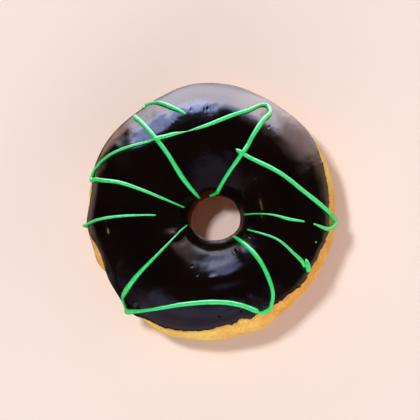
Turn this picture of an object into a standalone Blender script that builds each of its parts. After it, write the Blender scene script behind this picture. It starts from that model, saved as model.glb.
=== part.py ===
"""Chocolate mint ring doughnut.

A fried dough ring stands flat on z = 0. A coat of dark icing lies over its upper half and laps into the
hole, and strands of mint icing are drizzled across the coat.

Sizes are in metres and +Z is up. A place on the ring is given by two angles: its turn, counted round the
ring from +X towards +Y, and its roll, counted round the ring's section from the outer girth (0) over the
crest (90) to the wall of the hole (180).
"""

import bmesh
import bpy
import numpy as np

MM = 0.001

# The ring's centre is set so that the whole doughnut, drizzle included, is centred on the axis.
RING_CENTRE = (0.55 * MM, 0.2 * MM)
# The girth is the widest line round the outside, and its lobes are what makes it uneven.
# A lobe is (how many there are in one turn, how far they reach, the phase in degrees).
GIRTH_RADIUS = 46.3 * MM
GIRTH_LOBES = (
    (1, 1.3 * MM, -103),
    (2, 0.46 * MM, 165),
    (3, 0.6 * MM, 47),
    (4, 0.6 * MM, -10),
    (5, 0.36 * MM, 138),
    (6, 0.1 * MM, 96),
    (7, 0.35 * MM, -105),
    (8, 0.2 * MM, 141),
)
GIRTH_HEIGHT = 14.6 * MM
HOLE_RADIUS = 9.5 * MM
HOLE_LOBES = ((2, 0.58 * MM, 2),)
HOLE_CENTRE = (2.0 * MM, -3.6 * MM)
CREST_HEIGHT = 30.4 * MM
CREST_LOBES = ((2, 0.35 * MM, 20), (3, 0.25 * MM, 140), (5, 0.15 * MM, 60))
# The belly would reach below the table, and is pressed flat on it.
BELLY_HEIGHT = -1.2 * MM
CREST_SQUARENESS = 2.15
BELLY_SQUARENESS = 2.35
# The pale line at the girth, where the ring floated in the oil, is pinched in a little.
PINCH_DEPTH = 0.45 * MM
PINCH_ROLL = -9
PINCH_SPREAD = 11

# The coat of icing: where it ends on the outside and in the hole, as rolls in degrees.
COAT_THICKNESS = 1.4 * MM
COAT_GAP = 0.35 * MM
COAT_OUTER_ROLL = 23
COAT_OUTER_LOBES = ((1, 22.8, -71), (2, 2.6, -7), (3, 1.2, 6), (4, 2.9, 43), (5, 0.9, 33), (7, 1.0, -173))
# Where the coat ran further down the outside: (turn, half width and drop in degrees, squareness).
COAT_RUNS = ((223, 13, 29.9, 3.5), (188, 7, 7.5, 2), (322, 5, 3, 2), (349.5, 6, 4.3, 2))
COAT_INNER_ROLL = 161
COAT_INNER_LOBES = ((1, 8, -30), (3, 3, 80), (5, 2, 20))
# The coat's rim is blunt, with a bead just behind it where the icing ran together.
RIM_BLUNTNESS = 6
BEAD_HEIGHT = 0.35
BEAD_PLACE = 0.05
BEAD_SPREAD = 0.04

# The drizzle: each strand is a list of (turn, roll, width in mm), in the order in which they were laid.
STRANDS = {
    "short_hook": ((123.7, 21.6, 1.2), (122.6, 13, 1.3), (112.6, 45.2, 1.6), (103.7, 64.6, 0.6)),
    "left_spoke": ((129.4, 28, 1.5), (126.6, 91.7, 1.7), (129.8, 131, 1.7), (128.6, 153, 0.8)),
    "right_sweep": (
        (68.1, 96.8, 0.6), (65, 97.4, 1.6), (57, 97.9, 1.6), (16.4, 77.9, 1.6), (-1.1, 44.6, 1.7),
        (-6.6, 19.4, 1.5), (-10.1, 39.3, 1.6), (-8.3, 60.2, 0.6),
    ),
    "great_zigzag": (
        (107.6, 164.5, 0.8), (93.7, 159.1, 1.3), (65.2, 113.9, 1.5), (60.1, 92.3, 1.7), (59.6, 78.4, 1.7),
        (58.5, 54.7, 2.0), (58.1, 38.9, 1.7), (60.3, 33.6, 1.5), (69.5, 55.5, 1.5), (96.7, 81.1, 1.1),
        (105.4, 81.8, 0.6), (122.8, 75.8, 1.6), (133.6, 68.4, 0.9), (158.7, 32.1, 1.1), (162.1, 26.3, 1.1),
        (164.5, 26.7, 1.3), (164.9, 40.4, 1.6), (162.5, 72.8, 1.5), (162, 143.4, 0.6),
    ),
    "left_spur": ((187.3, 6, 0.9), (186.6, 30, 1.0), (185.1, 49.1, 1.1), (180.8, 113.9, 0.6)),
    "lower_loop": (
        (190.5, 156.8, 0.6), (211.3, 122.5, 0.7), (224, 43.9, 1.6), (225.2, 29.4, 1.0), (230.1, 10, 1.2),
        (233.9, 34, 1.3), (245.3, 64.2, 1.5), (252.4, 72.6, 1.6), (281.5, 74.7, 1.7), (287.7, 69, 1.9),
        (295.2, 54.1, 2.0), (300.3, 46, 1.6), (303.3, 50.9, 1.5), (311.3, 77.8, 1.6), (315.9, 136.6, 1.5),
        (312.3, 152.6, 0.8),
    ),
    "lower_spur": (
        (337.8, 136.7, 0.6), (337.6, 96.7, 0.9), (334.8, 83.8, 1.1), (330.8, 60.9, 1.4), (327.5, 48.3, 2.4),
        (326.6, 44.7, 1.6),
    ),
    "inner_spur": ((352.6, 70.1, 0.6), (354.4, 90.3, 1.2), (357.8, 105.7, 0.7), (365.1, 148.1, 0.6)),
}
# How much of a strand's half width its middle stands above the icing that it lies on.
STRAND_LIFT = 0.3
# How much of the two half widths a strand is lifted where it crosses one laid before it.
CROSSING_LIFT = 0.7
CROSSING_REACH = 2.5
STRAND_STEP = 1.9 * MM
STRAND_SAMPLES = 400

# How finely the pieces are divided, round the ring and round its section.
DOUGH_DIVISIONS = (76, 24)
COAT_DIVISIONS = (90, 28)
# How much of the coat's section is its outside.
COAT_OUTSIDE_SHARE = 0.6

DOUGH_COLOUR = (0.76, 0.42, 0.13, 1.0)
ICING_COLOUR = (0.012, 0.006, 0.004, 1.0)


def clear_scene():
    for item in list(bpy.data.objects):
        bpy.data.objects.remove(item)


def new_collection(name, shown=True):
    collection = bpy.data.collections.new(name)
    collection.hide_render = not shown
    bpy.context.scene.collection.children.link(collection)
    return collection


def move_to(item, collection):
    for other in list(item.users_collection):
        other.objects.unlink(item)
    collection.objects.link(item)


def material(name, colour, roughness):
    """A Principled finish of one colour."""
    made = bpy.data.materials.new(name)
    made.use_nodes = True
    shader = made.node_tree.nodes["Principled BSDF"]
    shader.inputs["Base Color"].default_value = colour
    shader.inputs["Roughness"].default_value = roughness
    shader.inputs["Metallic"].default_value = 0.0
    made.diffuse_color = colour
    return made


def lobed(mean, lobes, turn):
    """A value that varies round the ring about its mean."""
    value = np.full_like(turn, mean)
    for count, reach, phase in lobes:
        value = value + reach * np.cos(count * turn - np.radians(phase))
    return value


def degrees_from(angle, place):
    """How far angles in radians are from a place in degrees, the shorter way round."""
    return (np.degrees(angle) - place + 180) % 360 - 180


def ring_point(turn, roll):
    """The dough's surface at a turn and a roll, both in radians."""
    ray = np.stack([np.cos(turn), np.sin(turn)], axis=-1)
    outer = ray * lobed(GIRTH_RADIUS, GIRTH_LOBES, turn)[..., None]
    inner = ray * lobed(HOLE_RADIUS, HOLE_LOBES, turn)[..., None] + HOLE_CENTRE
    across, up = np.cos(roll), np.sin(roll)
    squareness = np.where(up > 0, CREST_SQUARENESS, BELLY_SQUARENESS)
    reach = (np.abs(across) ** squareness + np.abs(up) ** squareness) ** (1 / squareness)
    half_width = (outer - inner) / 2
    flat = (outer + inner) / 2 + half_width * (across / reach)[..., None]
    # The pinch is on the outside only: the hole's wall is half a turn of roll away from it.
    pinch = PINCH_DEPTH * np.exp(-((degrees_from(roll, PINCH_ROLL) / PINCH_SPREAD) ** 2))
    flat = flat - ray * pinch[..., None] + RING_CENTRE
    crest = lobed(CREST_HEIGHT, CREST_LOBES, turn) - GIRTH_HEIGHT
    half_height = np.where(up > 0, crest, GIRTH_HEIGHT - BELLY_HEIGHT)
    height = np.maximum(GIRTH_HEIGHT + half_height * up / reach, 0.0)
    return np.concatenate([flat, height[..., None]], axis=-1)


def above_dough(turn, roll, height):
    """The point at a height straight out of the dough's surface."""
    step = 0.002
    along = ring_point(turn + step, roll) - ring_point(turn - step, roll)
    round_section = ring_point(turn, roll + step) - ring_point(turn, roll - step)
    normal = np.cross(along, round_section)
    normal /= np.linalg.norm(normal, axis=-1, keepdims=True)
    return ring_point(turn, roll) + normal * height[..., None]


def coat_ends(turn):
    """The rolls, in radians, at which the coat ends on the outside and in the hole."""
    outer = lobed(COAT_OUTER_ROLL, COAT_OUTER_LOBES, turn)
    for place, half_width, drop, squareness in COAT_RUNS:
        outer = outer - drop * np.exp(-(np.abs(degrees_from(turn, place) / half_width) ** squareness))
    inner = lobed(COAT_INNER_ROLL, COAT_INNER_LOBES, turn)
    return np.radians(outer), np.radians(inner)


def coat_depth(share):
    """The coat's thickness at a share of the way from its outer rim (0) to its inner rim (1)."""
    from_middle = np.clip(np.abs(2 * share - 1), 0, 1)
    blunt = (1 - from_middle**RIM_BLUNTNESS) ** (1 / RIM_BLUNTNESS)
    to_rim = np.minimum(share, 1 - share)
    bead = BEAD_HEIGHT * np.exp(-(((to_rim - BEAD_PLACE) / BEAD_SPREAD) ** 2))
    return COAT_THICKNESS * blunt * (1 + bead)


def coat_depth_at(turn, roll):
    """The coat's thickness at a place on the ring, which is none beyond its rims."""
    outer, inner = coat_ends(turn)
    share = (roll - outer) / (inner - outer)
    return np.where((share > 0) & (share < 1), coat_depth(np.clip(share, 0, 1)), 0.0)


def reshaped_torus(name, divisions, place):
    """A torus primitive whose points are moved to place(turn, share), share being how far round its section
    each point is."""
    around, sides = divisions
    bpy.ops.mesh.primitive_torus_add(
        major_segments=around,
        minor_segments=sides,
        major_radius=GIRTH_RADIUS,
        minor_radius=HOLE_RADIUS,
    )
    item = bpy.context.object
    item.name = item.data.name = name
    points = np.empty(len(item.data.vertices) * 3)
    item.data.vertices.foreach_get("co", points)
    x, y, z = points.reshape(-1, 3).T
    turn = np.arctan2(y, x)
    share = (np.arctan2(z, np.hypot(x, y) - GIRTH_RADIUS) / (2 * np.pi)) % 1.0
    # Rounding may leave the first point of a section just short of a whole turn.
    share[share > 1 - 0.25 / sides] = 0.0
    item.data.vertices.foreach_set("co", place(turn, share).ravel())
    item.data.update()
    item.data.shade_smooth()
    return item


def make_dough():
    return reshaped_torus("dough", DOUGH_DIVISIONS, lambda turn, share: ring_point(turn, share * 2 * np.pi))


def place_coat(turn, share):
    """The coat's skin: its outside from rim to rim, then its underside back again."""
    outside = share < COAT_OUTSIDE_SHARE
    # The points of the outside crowd towards the rims, where the coat curves most.
    crowded = (1 - np.cos(np.pi * share / COAT_OUTSIDE_SHARE)) / 2
    across = np.where(outside, crowded, (1 - share) / (1 - COAT_OUTSIDE_SHARE))
    outer, inner = coat_ends(turn)
    height = COAT_GAP + np.where(outside, coat_depth(across), 0.0)
    return above_dough(turn, outer + (inner - outer) * across, height)


def make_coat():
    return reshaped_torus("icing", COAT_DIVISIONS, place_coat)


def smooth_through(points, count):
    """A count of points, evenly spread along a smooth line through the given ones."""
    gaps = np.linalg.norm(np.diff(points, axis=0), axis=1)
    places = np.concatenate([[0], np.cumsum(gaps)])
    slopes = np.gradient(points, places, axis=0)
    wanted = np.linspace(0, places[-1], count)
    span = np.clip(np.searchsorted(places, wanted, "right") - 1, 0, len(gaps) - 1)
    t = ((wanted - places[span]) / gaps[span])[:, None]
    gap = gaps[span][:, None]
    start = (2 * t**3 - 3 * t**2 + 1) * points[span] + (t**3 - 2 * t**2 + t) * gap * slopes[span]
    end = (3 * t**2 - 2 * t**3) * points[span + 1] + (t**3 - t**2) * gap * slopes[span + 1]
    return start + end


def strand_path(route, laid):
    """The middle line and the half widths of a strand that lies on the coat, on bare dough past the coat's
    rim, and on the strands laid before it."""
    turn, roll, width = smooth_through(np.array(route, float), STRAND_SAMPLES).T
    turn, roll, half = np.radians(turn), np.radians(roll), width * MM / 2
    on_coat = coat_depth_at(turn, roll) + STRAND_LIFT * half
    height = COAT_GAP + np.maximum(on_coat, half)
    line = above_dough(turn, roll, height)
    for other_line, other_half in laid:
        away = np.linalg.norm(line[:, None] - other_line[None], axis=2)
        reach = half + other_half[away.argmin(axis=1)]
        near = np.clip(1 - away.min(axis=1) / (CROSSING_REACH * reach), 0, 1)
        height = height + CROSSING_LIFT * reach * near**2 * (3 - 2 * near)
    line = above_dough(turn, roll, height)
    lengths = np.concatenate([[0], np.cumsum(np.linalg.norm(np.diff(line, axis=0), axis=1))])
    stops = np.linspace(0, lengths[-1], max(3, round(lengths[-1] / STRAND_STEP) + 1))
    spaced = np.stack([np.interp(stops, lengths, line[:, axis]) for axis in range(3)], axis=1)
    return spaced, np.interp(stops, lengths, half)


def make_strand(name, line, half, collection):
    """A tube along the line, as wide as the strand is at each point."""
    curve = bpy.data.curves.new(name, "CURVE")
    curve.dimensions = "3D"
    curve.bevel_depth = 1.0
    curve.bevel_resolution = 1
    curve.use_fill_caps = True
    spline = curve.splines.new("POLY")
    spline.points.add(len(line) - 1)
    for point, place, radius in zip(spline.points, line, half):
        point.co = (*place, 1.0)
        point.radius = radius
    tube = bpy.data.objects.new(name + "_curve", curve)
    collection.objects.link(tube)
    shape = bpy.data.meshes.new_from_object(tube.evaluated_get(bpy.context.evaluated_depsgraph_get()))
    bpy.data.objects.remove(tube)
    welded = bmesh.new()
    welded.from_mesh(shape)
    bmesh.ops.remove_doubles(welded, verts=welded.verts, dist=0.01 * MM)
    bmesh.ops.recalc_face_normals(welded, faces=welded.faces)
    welded.to_mesh(shape)
    welded.free()
    collection.objects.link(bpy.data.objects.new(name, shape))


def fuse(body, collection):
    """Joins every object of the collection to the body, then removes them."""
    join = body.modifiers.new("drizzle", "BOOLEAN")
    join.operation = "UNION"
    join.operand_type = "COLLECTION"
    join.collection = collection
    join.solver = "EXACT"
    bpy.context.view_layer.objects.active = body
    bpy.ops.object.modifier_apply(modifier=join.name)
    for item in list(collection.objects):
        bpy.data.objects.remove(item)
    bpy.data.collections.remove(collection)


def main():
    clear_scene()
    doughnut = new_collection("chocolate_mint_doughnut")

    dough = make_dough()
    dough.data.materials.append(material("fried_dough", DOUGH_COLOUR, 0.6))
    move_to(dough, doughnut)

    coat = make_coat()
    coat.data.materials.append(material("dark_icing", ICING_COLOUR, 0.15))
    move_to(coat, doughnut)

    drizzle = new_collection("drizzle_strands")
    laid = []
    for name, route in STRANDS.items():
        line, half = strand_path(route, laid)
        laid.append((line, half))
        make_strand(name, line, half, drizzle)
    fuse(coat, drizzle)


main()
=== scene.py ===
"""Looks of the chocolate mint ring doughnut: its fried dough, its coat of dark icing and its mint drizzle.

Sizes are in metres and +Z is up. As in the solids, a place on the ring is given by its turn, counted round
the ring from +X towards +Y, and its roll, counted round the ring's section from the outer girth (0) over the
crest (90) to the wall of the hole (180). The tables give both in degrees, and the functions take radians.
"""

import bpy
import numpy as np
from mathutils import Matrix, Vector


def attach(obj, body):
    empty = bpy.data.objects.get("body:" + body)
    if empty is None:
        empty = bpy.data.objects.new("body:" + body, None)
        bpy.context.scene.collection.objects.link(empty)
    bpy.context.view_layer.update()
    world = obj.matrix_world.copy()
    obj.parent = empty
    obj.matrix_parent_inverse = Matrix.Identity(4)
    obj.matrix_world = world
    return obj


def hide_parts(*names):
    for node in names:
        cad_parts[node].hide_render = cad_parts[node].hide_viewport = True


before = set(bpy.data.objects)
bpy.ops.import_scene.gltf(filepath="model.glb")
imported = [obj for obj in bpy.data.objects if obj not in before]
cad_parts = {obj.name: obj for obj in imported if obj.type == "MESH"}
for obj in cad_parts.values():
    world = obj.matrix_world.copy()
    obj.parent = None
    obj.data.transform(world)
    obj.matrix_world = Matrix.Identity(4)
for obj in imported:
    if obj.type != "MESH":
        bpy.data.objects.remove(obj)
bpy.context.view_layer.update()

MM = 0.001

# The forms of the ring and of its coat, as in the solids. A lobe is (waves round the ring, reach, phase in
# degrees), and a section with a squareness of 2 would be an ellipse.
RING_CENTRE = (0.55 * MM, 0.2 * MM)
GIRTH_RADIUS = 46.3 * MM
GIRTH_LOBES = (
    (1, 1.3 * MM, -103),
    (2, 0.46 * MM, 165),
    (3, 0.6 * MM, 47),
    (4, 0.6 * MM, -10),
    (5, 0.36 * MM, 138),
    (6, 0.1 * MM, 96),
    (7, 0.35 * MM, -105),
    (8, 0.2 * MM, 141),
)
GIRTH_HEIGHT = 14.6 * MM
HOLE_RADIUS = 9.5 * MM
HOLE_LOBES = ((2, 0.58 * MM, 2),)
HOLE_CENTRE = (2.0 * MM, -3.6 * MM)
CREST_HEIGHT = 30.4 * MM
CREST_LOBES = ((2, 0.35 * MM, 20), (3, 0.25 * MM, 140), (5, 0.15 * MM, 60))
# The belly would reach below the table, and is pressed flat on it.
BELLY_HEIGHT = -1.2 * MM
CREST_SQUARENESS = 2.15
BELLY_SQUARENESS = 2.35
# The waist that frying leaves round the girth.
PINCH_DEPTH = 0.45 * MM
PINCH_ROLL = -9
PINCH_SPREAD = 11
COAT_THICKNESS = 1.4 * MM
COAT_GAP = 0.35 * MM
# The rolls at which the coat ends on the outside and in the hole, with the runs of the first: (turn, half
# width, drop, squareness).
COAT_OUTER_ROLL = 23
COAT_OUTER_LOBES = ((1, 22.8, -71), (2, 2.6, -7), (3, 1.2, 6), (4, 2.9, 43), (5, 0.9, 33), (7, 1.0, -173))
COAT_RUNS = ((223, 13, 29.9, 3.5), (188, 7, 7.5, 2), (322, 5, 3, 2), (349.5, 6, 4.3, 2))
COAT_INNER_ROLL = 161
COAT_INNER_LOBES = ((1, 8, -30), (3, 3, 80), (5, 2, 20))
# The coat's rims are blunt, with a bead behind each: its height as a share of the thickness, and its place
# and spread as shares of the way across.
RIM_BLUNTNESS = 6
BEAD_HEIGHT = 0.35
BEAD_PLACE = 0.05
BEAD_SPREAD = 0.04

# The drizzle: each strand is a list of (turn, roll, width in mm), in the order in which they were laid. They
# follow the solids' strands a little more finely, and spur_fold and drop are too fine for the solids.
STRANDS = {
    "short_hook": (
        (123.7, 21.6, 1.2), (122.6, 13, 1.3), (118.4, 24.7, 1.3), (109.4, 52.3, 1.6), (103.7, 64.5, 0.6),
    ),
    "left_spoke": (
        (129.4, 28.5, 2.0), (127.4, 60, 1.8), (126.6, 92, 1.7), (129.6, 131.4, 1.7), (128.2, 154.5, 0.8),
    ),
    "right_sweep": (
        (68.1, 96.8, 0.6), (65, 97.4, 1.6), (57, 97.9, 1.6), (16.4, 77.9, 1.6), (-1.1, 44.6, 1.7),
        (-6.6, 19.4, 1.5), (-10.1, 39.3, 1.6), (-8.3, 60.2, 0.6),
    ),
    "great_zigzag": (
        (107.2, 164, 0.8), (93.7, 159.1, 1.3), (79.3, 143.1, 1.5), (65.2, 113.9, 1.5), (60.1, 92.3, 1.7),
        (59.6, 78.4, 1.7), (58.5, 54.7, 2.0), (58.1, 38.9, 1.7), (60.3, 33.6, 1.5), (69.5, 55.5, 1.5),
        (96.7, 81.1, 1.1), (105.4, 81.8, 0.6), (115.9, 78.3, 1.5), (128.6, 73.3, 1.6),
    ),
    "zigzag_left": (
        (127.3, 73.9, 0.7), (130.9, 71.3, 0.8), (158.7, 32.4, 1.1), (162.1, 26.6, 1.1), (164, 26.7, 1.3),
        (164.9, 40.7, 1.6), (162.5, 73.2, 1.5), (162, 144, 0.6),
    ),
    "left_spur": ((187.3, 6, 0.9), (186.6, 30, 1.0), (185.1, 49.1, 1.1), (180.8, 113.9, 0.6)),
    "lower_spoke": (
        (190.6, 156.7, 0.6), (211.4, 122, 0.7), (222.9, 59.5, 1.7), (224.6, 40, 1.9), (225.6, 26.7, 1.0),
        (229.6, 10.2, 0.9),
    ),
    "lower_rise": (
        (294.6, 54.3, 1.1), (297.7, 46.7, 1.6), (300.3, 46.1, 1.5), (303.3, 51.1, 1.5), (311.3, 77.9, 1.6),
        (316.1, 137.1, 1.5), (312.4, 153.2, 0.8),
    ),
    "lower_run": (
        (228.6, 6.5, 0.5), (230.2, 12, 1.5), (234, 34.2, 1.6), (239.6, 52.5, 1.3), (245.3, 64, 1.5),
        (252.4, 72.5, 1.7), (262.1, 77.1, 1.8), (272.1, 77.8, 1.9), (281.4, 74.9, 1.9), (287.7, 69.2, 1.9),
        (292.5, 60.8, 2.0), (295.6, 54.2, 1.9),
    ),
    "lower_spur": (
        (337.8, 136.9, 0.6), (337.6, 96.8, 0.9), (332.4, 70.8, 1.2), (330, 56.5, 1.5), (328.4, 50.5, 1.3),
    ),
    "spur_fold": ((332.6, 56, 0.7), (331, 53.3, 1.7), (329.2, 49.6, 2.1), (327.2, 46, 1.9)),
    "inner_spur": ((352.6, 70.1, 0.6), (354.4, 90.3, 1.2), (357.8, 105.7, 0.7), (365.1, 148.3, 0.6)),
    "drop": ((342.3, 51, 0.55), (342.35, 53.2, 0.55)),
}
# How much of a strand's half width its middle stands above the icing that it lies on.
STRAND_LIFT = 0.3
# The share of the widths above that the strands have.
STRAND_SHARE = 0.94
# Where a strand crosses one laid before it, it is lifted by this share of the two half widths, and the lift
# begins this many of them away.
CROSSING_LIFT = 0.7
CROSSING_REACH = 2.5
# The share of its half width that a strand has at its very ends.
STRAND_TIP = 0.02
# The least length over which an end is rounded.
LEAST_CAP = 0.1 * MM

# Bubbles that burst in the icing: (turn, roll, radius in mm, depth in mm).
PITS = (
    (80.6, 82.5, 0.6, 0.35), (90.8, 61.4, 0.4, 0.2), (92.8, 62.4, 0.35, 0.2), (100.3, 60.2, 0.4, 0.2),
    (98.2, 47.9, 0.45, 0.2), (100.3, 51.6, 0.35, 0.2), (112.4, 64.5, 0.4, 0.2), (115.6, 91.6, 0.4, 0.2),
    (75.6, 110.2, 0.4, 0.15), (97.7, 111.7, 0.4, 0.15), (37.2, 113.1, 0.45, 0.2), (233.2, 42.4, 1.0, 0.45),
    (275.7, 61.6, 0.55, 0.3), (287.8, 61.4, 0.5, 0.25), (225.8, 99.2, 0.45, 0.25), (230.5, 96.7, 0.4, 0.2),
    (257.1, 106.6, 0.5, 0.25), (249, 114.7, 0.45, 0.25), (301.8, 127.3, 0.6, 0.35), (329, 127, 0.4, 0.2),
    (53.7, 58.5, 0.5, 0.2), (168.4, 88.1, 0.4, 0.2),
)
# A pit's raised lip: its height as a share of the depth, and its place and spread in radii.
PIT_LIP = (0.3, 1.5, 0.45)
# Where the dough stands out: (turn, roll, half lengths in degrees of turn and roll, mm).
DOUGH_BULGES = (
    (170, 4, 8, 22, 0.8), (189, 2, 7, 26, 0.75), (204, 2, 6, 26, 1.7),
    (293.4, 0, 3, 28, 0.6), (320, 0, 9, 28, 0.7),
)
# Where the icing stands higher or lower, given in the same way.
SWELLS = (
    (88, 80, 18, 10, 0.2), (113, 84, 14, 11, 0.38), (96, 52, 42, 12, -0.2),
    (282, 100, 32, 8, 0.75), (264, 124, 40, 11, -0.52), (272, 104, 3.2, 2.2, 0.25),
    (221, 131, 16, 6, -0.15), (221, 117, 16, 7, 0.2), (206, 128, 6, 9, 0.7), (218, 128, 6, 9, -0.25),
    (309, 119, 6, 9, 0.3), (128, 60, 11, 10, -0.3), (143, 52, 6, 8, -0.2),
    (150, 35, 9, 8, 0.25), (214, 34, 7, 9, -0.2), (135, 42, 3, 5, 0.25), (140, 30, 3, 5, -0.2),
    (146, 44, 3, 6, 0.22), (156, 28, 4, 5, 0.2), (151, 60, 5, 6, -0.15),
)
# Where the bead is lower: (turn, half width in degrees, share that is missing).
LOW_BEAD = (295, 75, 0.9)
# Where the coat's outer rim is more jagged: (turn, half width in degrees, how much more).
JAGGED_RIM = (298, 45, 1.2)
# Where bare dough reaches further up, or less far if the rise is below 0: (turn, half width and rise in
# degrees).
RIM_NOTCHES = (
    (285.2, 1.8, 4.6), (279, 1.5, 1.4), (306, 1.4, 1.8), (318.5, 1.3, -2.4),
    (198, 10, 6.5), (171, 8, 9.5), (22, 14, 3.2),
)
# Where the coat reaches further down into the hole: (turn, half width and reach in degrees).
DEEP_RIMS = ((205, 40, 9), (305, 50, 9))
# Where the coat's outer rim is thin: (turn, half width in degrees, share of its thickness that is missing).
THIN_RIMS = ((200, 15, 0.78), (173, 12, 0.7), (20, 16, 0.6))
# How far in from the rim that goes, as a share of the way across.
THIN_REACH = 0.13
# How far the coat's rims and its hidden underside are sunk into the dough.
COAT_SINK = 0.05 * MM

# Unevenness: (height, length in mm, seed). Heights are in mm, for the rims in degrees of roll, and for the
# strands in shares of the half width.
DOUGH_WAVES = ((0.22, 9, 11), (0.09, 3.5, 12), (0.04, 1.4, 13))
COAT_WAVES = ((0.15, 9.5, 31), (0.085, 4.4, 32), (0.028, 2.4, 34), (0.01, 1.5, 33))
OUTER_RIM_WAVES = ((0.8, 2.6, 21), (0.8, 1.1, 22))
INNER_RIM_WAVES = ((1.5, 6, 23),)
STRAND_WAVES = ((0.06, 2.4, 50), (0.025, 0.9, 51))
# The height above the table from which the dough is fully uneven.
EVEN_REACH = 2 * MM
# The band round the dough's girth that fries paler.
PALE_ROLL = -5
PALE_SPREAD = 15

# Points of the meshes: round the ring, round its section or across the coat, and across its underside.
DOUGH_MESH = (620, 150)
COAT_MESH = (780, 108, 16)
# Points along a strand's first line, the steps along its tube, and that tube's sides and fewest steps.
STRAND_SAMPLES = 900
STRAND_STEP = 0.3 * MM
STRAND_SIDES = 18
LEAST_STEPS = 8

# Colours as on a screen, from 0 to 255. A pair is mixed in clouds.
CRUST_GOLD = ((248, 212, 110), (243, 194, 90))
CRUST_BROWN = ((243, 176, 82), (230, 148, 58))
CRUST_UNDERSIDE = (206, 128, 54)
CRUST_PALE = (248, 208, 122)
CRUST_MOTTLE = (204, 132, 62)
CRUST_FLECKS = (250, 218, 152)
# The wall of the hole: a darker fried red brown together with painted shade, as the hole's shade is painted
# into this colour.
HOLE_WALL_AND_PAINTED_SHADE = (92, 34, 12)
CHOCOLATE = ((17, 8, 6), (10, 5, 4))
MINT = ((42, 232, 116), (56, 244, 136))
FLOOR = ((244, 224, 218), (246, 228, 222))
FLOOR_REACH = 3.0

# Soft lights: (name, turn, elevation, distance, size, radiance, colour), with both angles in degrees.
PANELS = (
    ("key", 135, 72, 1.0, (0.13, 0.13), 112.0, (1.0, 0.99, 0.97)),
    ("north_fill", 95, 25, 0.9, (1.0, 0.5), 1.0, (0.96, 0.96, 1.0)),
    ("south_fill", -85, 22, 0.9, (1.2, 0.5), 2.4, (1.0, 0.97, 0.92)),
    ("east_fill", -12, 24, 0.9, (0.9, 0.5), 1.7, (1.0, 0.96, 0.9)),
)
PANEL_AIM = (0, 0, 20 * MM)
EVEN_LIGHT = (0.17, 0.17, 0.17, 1)
BACKDROP = (0.86, 0.8, 0.78, 1)
# What the gloss mirrors: (turn, even half width, soft width; elevations at which it starts, is full, begins
# to fade and has faded; strength, colour), with all angles in degrees.
MIRRORED = (
    (97, 20, 25, -82, 14, 20, 28, 3.4, (1.08, 1.0, 1.14)),
    (115, 10, 12, 16, 25, 35, 40, 1.9, (0.82, 1.0, 1.8)),
    (88, 17, 12, 19, 26, 29, 36, 1.4, (0.82, 1.0, 1.6)),
    (56, 12, 18, -72, -42, 14, 58, 0.85, (1.4, 1.0, 0.95)),
    (258, 30, 28, -40, -5, 0, 75, 0.21, (1.35, 1.0, 1.5)),
    (252, 26, 14, 30, 50, 58, 76, 0.14, (1.1, 1.0, 2.0)),
    (141, 6, 14, -62, -40, -18, 4, 0.32, (1.8, 1.0, 0.7)),
    (0, 30, 30, -55, -35, -6, 16, 0.3, (1.6, 1.0, 0.7)),
    (166, 18, 24, -60, -45, -34, -6, 0.26, (1.5, 1.0, 0.75)),
    (188, 0.8, 2, 32, 33.5, 34.5, 36, 4.0, (1.45, 1.0, 0.3)),
)

# The camera leans from straight above towards a turn, and looks at a point on the doughnut.
CAMERA_LEAN = 8
CAMERA_HEADING = -35
CAMERA_AIM = (-0.45 * MM, 0.3 * MM, 15 * MM)
CAMERA_DISTANCE = 0.5
CAMERA_LENS = 114.59


def full_circle(count):
    """A count of even steps once round, in radians."""
    return np.arange(count) / count * 2 * np.pi


def lobed(mean, lobes, turn):
    """A value that varies round the ring about its mean."""
    value = np.full_like(turn, mean)
    for count, reach, phase in lobes:
        value = value + reach * np.cos(count * turn - np.radians(phase))
    return value


def degrees_from(angle, place):
    """How far angles in radians are from a place in degrees, the shorter way round."""
    return (np.degrees(angle) - place + 180) % 360 - 180


def near(angle, place, half_width, squareness=2):
    """1 at a place in degrees, about a third at the half width to either side and 0 further off."""
    return np.exp(-(np.abs(degrees_from(angle, place) / half_width) ** squareness))


def ring_point(turn, roll):
    """The dough's surface at a turn and a roll, without its bulges."""
    ray = np.stack([np.cos(turn), np.sin(turn)], axis=-1)
    outer = ray * lobed(GIRTH_RADIUS, GIRTH_LOBES, turn)[..., None]
    inner = ray * lobed(HOLE_RADIUS, HOLE_LOBES, turn)[..., None] + HOLE_CENTRE
    across, up = np.cos(roll), np.sin(roll)
    squareness = np.where(up > 0, CREST_SQUARENESS, BELLY_SQUARENESS)
    reach = (np.abs(across) ** squareness + np.abs(up) ** squareness) ** (1 / squareness)
    half_width = (outer - inner) / 2
    flat = (outer + inner) / 2 + half_width * (across / reach)[..., None]
    pinch = PINCH_DEPTH * near(roll, PINCH_ROLL, PINCH_SPREAD)
    flat = flat - ray * pinch[..., None] + RING_CENTRE
    crest = lobed(CREST_HEIGHT, CREST_LOBES, turn) - GIRTH_HEIGHT
    half_height = np.where(up > 0, crest, GIRTH_HEIGHT - BELLY_HEIGHT)
    height = np.maximum(GIRTH_HEIGHT + half_height * up / reach, 0.0)
    return np.concatenate([flat, height[..., None]], axis=-1)


def ring_normal(turn, roll):
    """The direction straight out of the dough's surface."""
    step = 0.002
    along = ring_point(turn + step, roll) - ring_point(turn - step, roll)
    round_section = ring_point(turn, roll + step) - ring_point(turn, roll - step)
    normal = np.cross(along, round_section)
    return normal / np.linalg.norm(normal, axis=-1, keepdims=True)


def hills(turn, roll, places):
    """The height in metres of low smooth hills at the places of a table."""
    height = np.zeros_like(turn)
    for place, tilt, long, wide, rise in places:
        height += rise * MM * near(turn, place, long) * near(roll, tilt, wide)
    return height


def above_dough(turn, roll, height):
    """The point at a height straight out of the dough's surface, which includes its bulges."""
    height = height + hills(turn, roll, DOUGH_BULGES)
    return ring_point(turn, roll) + ring_normal(turn, roll) * height[..., None]


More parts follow.
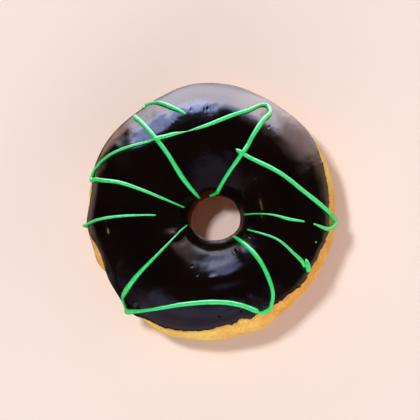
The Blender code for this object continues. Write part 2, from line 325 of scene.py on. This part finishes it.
def noise(points, cell, seed):
    """Smooth random values from -1 to 1 that change over about a cell's length."""
    size = 32
    table = np.random.default_rng(seed).uniform(-1, 1, (size, size, size))
    low = np.floor(points / cell).astype(int)
    part = points / cell - low
    ease = part**3 * (part * (part * 6 - 15) + 10)
    value = np.zeros(points.shape[:-1])
    for corner in np.ndindex(2, 2, 2):
        weight = np.prod(np.where(corner, ease, 1 - ease), axis=-1)
        place = (low + corner) % size
        value += weight * table[place[..., 0], place[..., 1], place[..., 2]]
    return value


def waves(points, table, later=0):
    """The sum of the noises of a table, with seeds that are later by a number."""
    return sum(height * noise(points, length * MM, seed + later) for height, length, seed in table)


def coat_ends(turn):
    """The rolls, in radians, at which the coat ends on the outside and in the hole."""
    outer = lobed(COAT_OUTER_ROLL, COAT_OUTER_LOBES, turn)
    for place, half_width, drop, squareness in COAT_RUNS:
        outer = outer - drop * near(turn, place, half_width, squareness)
    inner = lobed(COAT_INNER_ROLL, COAT_INNER_LOBES, turn)
    return np.radians(outer), np.radians(inner)


def bluntness(share):
    """1 across most of the coat and 0 at its two rims, with a round shoulder."""
    from_middle = np.clip(np.abs(2 * share - 1), 0, 1)
    return (1 - from_middle**RIM_BLUNTNESS) ** (1 / RIM_BLUNTNESS)


def coat_depth(turn, share):
    """The coat's thickness at a share of the way from its outer rim (0) to its inner rim (1)."""
    to_rim = np.minimum(share, 1 - share)
    place, half_width, missing = LOW_BEAD
    height = BEAD_HEIGHT * (1 - missing * near(turn, place, half_width))
    bead = height * np.exp(-(((to_rim - BEAD_PLACE) / BEAD_SPREAD) ** 2))
    return COAT_THICKNESS * bluntness(share) * (1 + bead)


def coat_depth_at(turn, roll):
    """The coat's thickness at a place on the ring, which is none beyond its rims."""
    outer, inner = coat_ends(turn)
    share = (roll - outer) / (inner - outer)
    return np.where((share > 0) & (share < 1), coat_depth(turn, np.clip(share, 0, 1)), 0.0)


def mesh_object(name, points, faces, values=None):
    """A smooth-shaded mesh piece; values are numbers kept at its points for its material."""
    mesh = bpy.data.meshes.new(name)
    mesh.from_pydata(points.tolist(), [], faces)
    for title, numbers in (values or {}).items():
        layer = mesh.attributes.new(title, "FLOAT", "POINT")
        layer.data.foreach_set("value", np.asarray(numbers, np.float32).ravel())
    mesh.shade_smooth()
    item = bpy.data.objects.new(name, mesh)
    bpy.context.scene.collection.objects.link(item)
    return item


def ring_faces(around, sides):
    """The quads of a grid of points that closes both round the ring and round its section."""
    index = np.arange(around * sides).reshape(around, sides)
    after = np.roll(index, -1, axis=0)
    quads = np.stack([index, after, np.roll(after, -1, axis=1), np.roll(index, -1, axis=1)], axis=-1)
    return quads.reshape(-1, 4).tolist()


def make_dough():
    """The fried ring, uneven all over but for the side that it rests on."""
    around, sides = DOUGH_MESH
    turn, roll = np.meshgrid(full_circle(around), full_circle(sides), indexing="ij")
    base = ring_point(turn, roll)
    lying = np.clip(base[..., 2] / EVEN_REACH, 0, 1)
    points = above_dough(turn, roll, waves(base, DOUGH_WAVES) * MM * lying)
    points[..., 2] = np.maximum(points[..., 2], 0.0)
    values = {"pale": near(roll, PALE_ROLL, PALE_SPREAD), "roll": degrees_from(roll, 0)}
    return mesh_object("dough_ring", points.reshape(-1, 3), ring_faces(around, sides), values)


def pits(points):
    """How far the icing's skin rises or falls at its burst bubbles, in metres."""
    lip_height, lip_place, lip_spread = PIT_LIP
    height = np.zeros(points.shape[:-1])
    for turn, roll, radius, depth in PITS:
        spot = above_dough(np.radians(turn), np.radians(roll), COAT_GAP + COAT_THICKNESS)
        away = np.linalg.norm(points - spot, axis=-1) / (radius * MM)
        lip = lip_height * np.exp(-(((away - lip_place) / lip_spread) ** 2))
        height += depth * MM * (lip - np.exp(-(away**2)))
    return height


def make_coat():
    """The chocolate coat, closed underneath just inside the dough."""
    around, rows, under_rows = COAT_MESH
    turn = full_circle(around)
    outer, inner = coat_ends(turn)
    rim = above_dough(turn, outer, np.zeros_like(turn))
    place, half_width, more = JAGGED_RIM
    jagged = 1 + more * near(turn, place, half_width)
    outer = outer + np.radians(jagged * waves(rim, OUTER_RIM_WAVES))
    for place, half_width, rise in RIM_NOTCHES:
        outer = outer + np.radians(rise * near(turn, place, half_width))
    inner = inner + np.radians(waves(rim, INNER_RIM_WAVES))
    for place, half_width, reach in DEEP_RIMS:
        inner = inner + np.radians(reach * near(turn, place, half_width))
    # The rows lie closer together near the rims.
    even = np.arange(rows) / rows
    across = 0.5 * even + 0.5 * (1 - np.cos(np.pi * even)) / 2
    turn_grid, share = np.meshgrid(turn, across, indexing="ij")
    roll = outer[:, None] + (inner - outer)[:, None] * share
    depth = coat_depth(turn_grid, share)
    skin = above_dough(turn_grid, roll, COAT_GAP + depth)
    relief = waves(skin, COAT_WAVES) * MM + hills(turn_grid, roll, SWELLS) + pits(skin)
    height = depth - COAT_SINK + bluntness(share) * (COAT_GAP + relief)
    for place, half_width, missing in THIN_RIMS:
        height *= 1 - missing * near(turn_grid, place, half_width) * np.exp(-((share / THIN_REACH) ** 2))
    top = above_dough(turn_grid, roll, height)
    turn_under, share_under = np.meshgrid(turn, 1 - np.arange(under_rows) / under_rows, indexing="ij")
    roll_under = outer[:, None] + (inner - outer)[:, None] * share_under
    under = above_dough(turn_under, roll_under, np.full_like(roll_under, -COAT_SINK))
    points = np.concatenate([top, under], axis=1).reshape(-1, 3)
    rolls = np.degrees(np.concatenate([roll, roll_under], axis=1))
    return mesh_object("icing_coat", points, ring_faces(around, rows + under_rows), {"roll": rolls})


def smooth_through(points, count):
    """A count of points, evenly spread along a smooth line through the given ones."""
    gaps = np.linalg.norm(np.diff(points, axis=0), axis=1)
    places = np.concatenate([[0], np.cumsum(gaps)])
    slopes = np.gradient(points, places, axis=0)
    wanted = np.linspace(0, places[-1], count)
    span = np.clip(np.searchsorted(places, wanted, "right") - 1, 0, len(gaps) - 1)
    t = ((wanted - places[span]) / gaps[span])[:, None]
    gap = gaps[span][:, None]
    start = (2 * t**3 - 3 * t**2 + 1) * points[span] + (t**3 - 2 * t**2 + t) * gap * slopes[span]
    end = (3 * t**2 - 2 * t**3) * points[span + 1] + (t**3 - t**2) * gap * slopes[span + 1]
    return start + end


def strand_path(route, laid):
    """The middle line, the half widths, the directions out of the surface and the lengths so far along a
    strand, which lies on the coat, on bare dough past the coat's rim, and on the strands laid before it."""
    turn, roll, width = smooth_through(np.array(route, float), STRAND_SAMPLES).T
    turn, roll, half = np.radians(turn), np.radians(roll), STRAND_SHARE * width * MM / 2
    height = COAT_GAP + np.maximum(coat_depth_at(turn, roll) + STRAND_LIFT * half, half)
    line = above_dough(turn, roll, height)
    for other_line, other_half in laid:
        away = np.linalg.norm(line[:, None] - other_line[None], axis=2)
        reach = half + other_half[away.argmin(axis=1)]
        close = np.clip(1 - away.min(axis=1) / (CROSSING_REACH * reach), 0, 1)
        height = height + CROSSING_LIFT * reach * close**2 * (3 - 2 * close)
    line = above_dough(turn, roll, height)
    out = ring_normal(turn, roll)
    lengths = np.concatenate([[0], np.cumsum(np.linalg.norm(np.diff(line, axis=0), axis=1))])
    stops = np.linspace(0, lengths[-1], max(LEAST_STEPS, round(lengths[-1] / STRAND_STEP)))
    columns = [*line.T, *out.T, half]
    spaced = np.stack([np.interp(stops, lengths, column) for column in columns], axis=1)
    return spaced[:, :3], spaced[:, 6], spaced[:, 3:6], stops


def strand_tube(line, half, out, stops, later):
    """The points and faces of a round-ended strand of soft icing."""
    along = np.gradient(line, axis=0)
    along /= np.linalg.norm(along, axis=1, keepdims=True)
    aside = np.cross(along, out)
    aside /= np.linalg.norm(aside, axis=1, keepdims=True)
    up = np.cross(aside, along)
    to_end = np.minimum(stops, stops[-1] - stops)
    cap = np.clip(to_end / np.maximum(half, LEAST_CAP), 0, 1)
    round_end = np.sqrt(np.clip(1 - (1 - cap) ** 2, STRAND_TIP**2, 1))
    size = half * round_end * (1 + waves(line, STRAND_WAVES, later))
    angle = full_circle(STRAND_SIDES)
    ring = np.cos(angle)[None, :, None] * aside[:, None] + np.sin(angle)[None, :, None] * up[:, None]
    points = line[:, None] + ring * size[:, None, None]
    index = np.arange(len(line) * STRAND_SIDES).reshape(len(line), STRAND_SIDES)
    turned = np.roll(index, -1, axis=1)
    quads = np.stack([index[:-1], turned[:-1], turned[1:], index[1:]], axis=-1).reshape(-1, 4)
    ends = [index[0, ::-1].tolist(), index[-1].tolist()]
    return points.reshape(-1, 3), quads.tolist() + ends


def make_drizzle():
    """The mint strands, each laid over those before it."""
    laid, points, faces, total = [], [], [], 0
    for number, route in enumerate(STRANDS.values()):
        line, half, out, stops = strand_path(route, laid)
        laid.append((line, half))
        tube, tube_faces = strand_tube(line, half, out, stops, len(STRAND_WAVES) * number)
        points.append(tube)
        faces += [[corner + total for corner in face] for face in tube_faces]
        total += len(tube)
    return mesh_object("mint_drizzle", np.concatenate(points), faces)


def srgb(red, green, blue):
    """A linear colour from one given as on a screen, from 0 to 255."""
    shares = (red / 255, green / 255, blue / 255)
    return tuple(part / 12.92 if part <= 0.04045 else ((part + 0.055) / 1.055) ** 2.4 for part in shares)


class Nodes:
    """Builds a node tree step by step."""

    def __init__(self, tree):
        self.tree = tree

    def add(self, kind, **settings):
        node = self.tree.nodes.new(kind)
        for key, value in settings.items():
            setattr(node, key, value)
        return node

    def link(self, source, target):
        self.tree.links.new(source, target)

    def maths(self, operation, *sources):
        """The result of an operation on one or two sources, each a number or a node's output."""
        node = self.add("ShaderNodeMath", operation=operation)
        for socket, source in zip(node.inputs, sources):
            if isinstance(source, (int, float)):
                socket.default_value = source
            else:
                self.link(source, socket)
        return node.outputs[0]

    def range(self, source, low, high, to_low=0.0, to_high=1.0):
        """The source's span from low to high, eased to another span and held within it."""
        node = self.add("ShaderNodeMapRange", interpolation_type="SMOOTHSTEP")
        titles = ("From Min", "From Max", "To Min", "To Max")
        for title, number in zip(titles, (low, high, to_low, to_high)):
            node.inputs[title].default_value = number
        self.link(source, node.inputs["Value"])
        return node.outputs["Result"]


class Material(Nodes):
    """Builds a material's node tree step by step."""

    def __init__(self, name):
        self.material = bpy.data.materials.new(name)
        self.material.use_nodes = True
        super().__init__(self.material.node_tree)
        self.shader = self.tree.nodes["Principled BSDF"]
        self.place = self.add("ShaderNodeTexCoord").outputs["Object"]

    def noise(self, size, detail=3.0, rough=0.55, warp=0.0):
        """Cloudy noise from 0 to 1 whose clouds are about size across."""
        node = self.add("ShaderNodeTexNoise")
        titles = ("Scale", "Detail", "Roughness", "Distortion")
        for title, number in zip(titles, (1 / size, detail, rough, warp)):
            node.inputs[title].default_value = number
        self.link(self.place, node.inputs["Vector"])
        return node.outputs["Fac"]

    def cells(self, size):
        """The distance from the nearest of many scattered points, which are about size apart."""
        node = self.add("ShaderNodeTexVoronoi")
        node.inputs["Scale"].default_value = 1 / size
        self.link(self.place, node.inputs["Vector"])
        return node.outputs["Distance"]

    def toward(self, east, north):
        """How far a point lies out in one direction, in metres."""
        node = self.add("ShaderNodeVectorMath", operation="DOT_PRODUCT")
        self.link(self.place, node.inputs[0])
        node.inputs[1].default_value = (east, north, 0)
        return node.outputs["Value"]

    def value(self, title):
        """A number kept at the mesh's points."""
        return self.add("ShaderNodeAttribute", attribute_name=title).outputs["Fac"]

    def mix(self, share, first, second):
        """A colour between two others, each a colour on a screen or a node's output."""
        node = self.add("ShaderNodeMix", data_type="RGBA")
        self.link(share, node.inputs["Factor"])
        for socket, source in ((node.inputs[6], first), (node.inputs[7], second)):
            if isinstance(source, tuple):
                socket.default_value = (*srgb(*source), 1.0)
            else:
                self.link(source, socket)
        return node.outputs[2]

    def bump(self, height, depth, under=None):
        """Relief of a depth in metres, on top of other relief."""
        node = self.add("ShaderNodeBump")
        node.inputs["Distance"].default_value = depth
        node.inputs["Strength"].default_value = 1.0
        self.link(height, node.inputs["Height"])
        if under is not None:
            self.link(under, node.inputs["Normal"])
        return node.outputs["Normal"]

    def finish(self, colour, roughness, normal, **settings):
        """The material with its shader set; an underscore in a setting's name stands for a space."""
        for title, source in (("Base Color", colour), ("Roughness", roughness), ("Normal", normal)):
            self.link(source, self.shader.inputs[title])
        for title, number in settings.items():
            self.shader.inputs[title.replace("_", " ")].default_value = number
        return self.material


def dough_material():
    """A gold crust, browner where it fried longer, with pale flecks, and darker down in the hole, partly
    from frying and partly painted shade.
    """
    made = Material("fried_dough")
    roll = made.value("roll")
    # The ring is fried darker between +X and -Y, and a little at the left.
    drift = made.maths("MULTIPLY", made.noise(14 * MM, 2), 16 * MM)
    right = made.range(made.maths("ADD", made.toward(0.82, -0.57), drift), 32 * MM, 57 * MM)
    left = made.range(made.toward(-0.95, -0.3), 40 * MM, 46 * MM, 0.0, 0.7)
    gold = made.mix(made.range(made.noise(9 * MM, 4), 0.35, 0.68), *CRUST_GOLD)
    brown = made.mix(made.range(made.noise(7 * MM, 4), 0.35, 0.68), *CRUST_BROWN)
    colour = made.mix(made.maths("MAXIMUM", right, left), gold, brown)
    # The underside lay in the oil first, and the band round the girth hardly at all.
    colour = made.mix(made.range(roll, -21.6, -61.2, 0.0, 0.75), colour, CRUST_UNDERSIDE)
    cloud = made.range(made.noise(6 * MM, 3), 0.3, 0.6, 0.4, 0.95)
    colour = made.mix(made.maths("MULTIPLY", made.value("pale"), cloud), colour, CRUST_PALE)
    mottle = made.range(made.noise(1.5 * MM, 4, 0.6), 0.42, 0.64, 0.0, 0.25)
    colour = made.mix(mottle, colour, CRUST_MOTTLE)
    flecks = made.range(made.cells(1.5 * MM), 0.14, 0.36, 1.0, 0.0)
    patches = made.range(made.noise(4 * MM), 0.4, 0.56, 0.0, 0.8)
    colour = made.mix(made.maths("MULTIPLY", flecks, patches), colour, CRUST_FLECKS)
    # Painted shade: down in the hole the crust turns to the hole wall's colour, which is partly its darker
    # fry and partly painted shade.
    colour = made.mix(made.range(roll, 90, 129.6), colour, HOLE_WALL_AND_PAINTED_SHADE)
    roughness = made.range(made.noise(3 * MM, 4), 0.3, 0.7, 0.42, 0.68)
    relief = made.bump(made.noise(2.2 * MM, 5, 0.6), 0.35 * MM)
    relief = made.bump(made.noise(0.5 * MM, 3), 0.1 * MM, relief)
    return made.finish(colour, roughness, relief, Specular_IOR_Level=0.4)


def icing_material():
    """Near black chocolate under a glossy film."""
    made = Material("dark_chocolate_icing")
    roll = made.value("roll")
    colour = made.mix(made.range(made.noise(14 * MM, 4), 0.3, 0.7), *CHOCOLATE)
    roughness = made.range(made.noise(7 * MM, 4, 0.6), 0.3, 0.7, 0.18, 0.34)
    relief = made.bump(made.noise(3.2 * MM, 3, 0.5, 0.4), 0.06 * MM)
    relief = made.bump(made.noise(0.6 * MM, 2), 0.006 * MM, relief)
    # The set film on the icing is duller past the crest, and duller still down in the hole.
    crest = made.range(roll, 90, 108, 0.85, 0.22)
    film = made.maths("MULTIPLY", crest, made.range(roll, 140.4, 156.6, 1.0, 0.15))
    made.link(film, made.shader.inputs["Coat Weight"])
    made.link(relief, made.shader.inputs["Coat Normal"])
    return made.finish(
        colour, roughness, relief, Specular_IOR_Level=0.2, Coat_Roughness=0.1, Coat_IOR=2.0
    )


def mint_material():
    made = Material("mint_icing")
    colour = made.mix(made.range(made.noise(2.5 * MM, 3), 0.3, 0.7), *MINT)
    roughness = made.range(made.noise(1.8 * MM, 3), 0.3, 0.7, 0.26, 0.36)
    relief = made.bump(made.noise(1.6 * MM, 2), 0.03 * MM)
    return made.finish(colour, roughness, relief, Specular_IOR_Level=1.0, IOR=2.0)


def floor_material():
    made = Material("pale_floor")
    cloud = made.noise(300 * MM, 2)
    colour = made.mix(cloud, *FLOOR)
    roughness = made.range(cloud, 0, 1, 0.85, 0.95)
    relief = made.bump(cloud, 0.01 * MM)
    return made.finish(colour, roughness, relief, Specular_IOR_Level=0.1)


def dress(item, node, material):
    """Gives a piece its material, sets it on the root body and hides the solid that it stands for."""
    item.data.materials.append(material)
    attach(item, "root")
    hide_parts(node)


def make_floor():
    corners = [(-1, -1, 0), (1, -1, 0), (1, 1, 0), (-1, 1, 0)]
    floor = mesh_object("floor", np.array(corners) * FLOOR_REACH, [[0, 1, 2, 3]])
    floor.data.materials.append(floor_material())
    floor.visible_glossy = False


def panel(name, turn, elevation, distance, size, radiance, colour):
    """A soft light that faces the doughnut and isn't mirrored in its gloss."""
    light = bpy.data.lights.new(name, "AREA")
    light.shape = "RECTANGLE"
    light.size, light.size_y = size
    light.energy = radiance * size[0] * size[1] * np.pi
    light.color = colour
    item = bpy.data.objects.new(name, light)
    bpy.context.scene.collection.objects.link(item)
    across, up = np.radians(turn), np.radians(elevation)
    away = Vector((np.cos(up) * np.cos(across), np.cos(up) * np.sin(across), np.sin(up)))
    item.location = away * distance + Vector(PANEL_AIM)
    item.rotation_mode = "QUATERNION"
    item.rotation_quaternion = (-away).to_track_quat("-Z", "Y")
    item.visible_camera = False
    item.visible_glossy = False


def mirrored_light(made):
    """A soft surround whose brightness depends on the direction, for the gloss alone."""
    split = made.add("ShaderNodeSeparateXYZ")
    made.link(made.add("ShaderNodeTexCoord").outputs["Generated"], split.inputs[0])
    east, north, up = split.outputs
    turn = made.maths("MULTIPLY", made.maths("ARCTAN2", north, east), 180 / np.pi)
    elevation = made.maths("MULTIPLY", made.maths("ARCSINE", up), 180 / np.pi)
    total = made.add("ShaderNodeRGB").outputs[0]
    total.default_value = (0, 0, 0, 1)
    for place, even, soft, start, full, fade, end, strength, colour in MIRRORED:
        away = made.maths("WRAP", made.maths("SUBTRACT", turn, place), 180, -180)
        share = made.range(made.maths("ABSOLUTE", away), even, even + soft, 1, 0)
        share = made.maths("MULTIPLY", share, made.range(elevation, start, full))
        share = made.maths("MULTIPLY", share, made.range(elevation, fade, end, 1, 0))
        added = made.add("ShaderNodeVectorMath", operation="MULTIPLY_ADD")
        made.link(share, added.inputs[0])
        added.inputs[1].default_value = [part * strength for part in colour]
        made.link(total, added.inputs[2])
        total = added.outputs[0]
    return total


def light_scene():
    """The soft lights, and a world that is mirrored, lights and shows as three different things."""
    for settings in PANELS:
        panel(*settings)
    world = bpy.data.worlds.new("studio")
    bpy.context.scene.world = world
    world.use_nodes = True
    made = Nodes(world.node_tree)
    ray = made.add("ShaderNodeLightPath")
    mirrored, even, backdrop = (made.add("ShaderNodeBackground") for _ in range(3))
    made.link(mirrored_light(made), mirrored.inputs["Color"])
    even.inputs["Color"].default_value = EVEN_LIGHT
    backdrop.inputs["Color"].default_value = BACKDROP
    seen = even
    for kind, other in (("Is Glossy Ray", mirrored), ("Is Camera Ray", backdrop)):
        mixed = made.add("ShaderNodeMixShader")
        made.link(ray.outputs[kind], mixed.inputs[0])
        made.link(seen.outputs[0], mixed.inputs[1])
        made.link(other.outputs[0], mixed.inputs[2])
        seen = mixed
    made.link(seen.outputs[0], made.tree.nodes["World Output"].inputs["Surface"])
    bpy.context.scene.view_settings.view_transform = "Standard"


def make_camera():
    lean, heading = np.radians(CAMERA_LEAN), np.radians(CAMERA_HEADING)
    back = Vector((np.sin(lean) * np.cos(heading), np.sin(lean) * np.sin(heading), np.cos(lean)))
    up = (Vector((0, 1, 0)) - back * back.y).normalized()
    right = up.cross(back)
    camera = bpy.data.cameras.new("camera")
    camera.sensor_width = 36
    camera.lens = CAMERA_LENS
    camera.clip_start = 0.01
    camera.clip_end = 50
    item = bpy.data.objects.new("camera", camera)
    bpy.context.scene.collection.objects.link(item)
    item.rotation_mode = "QUATERNION"
    item.rotation_quaternion = Matrix((right, up, back)).transposed().to_quaternion()
    item.location = Vector(CAMERA_AIM) + back * CAMERA_DISTANCE
    bpy.context.scene.camera = item


dress(make_dough(), "dough", dough_material())
dress(make_coat(), "icing", icing_material())
dress(make_drizzle(), "icing", mint_material())
make_floor()
light_scene()
make_camera()
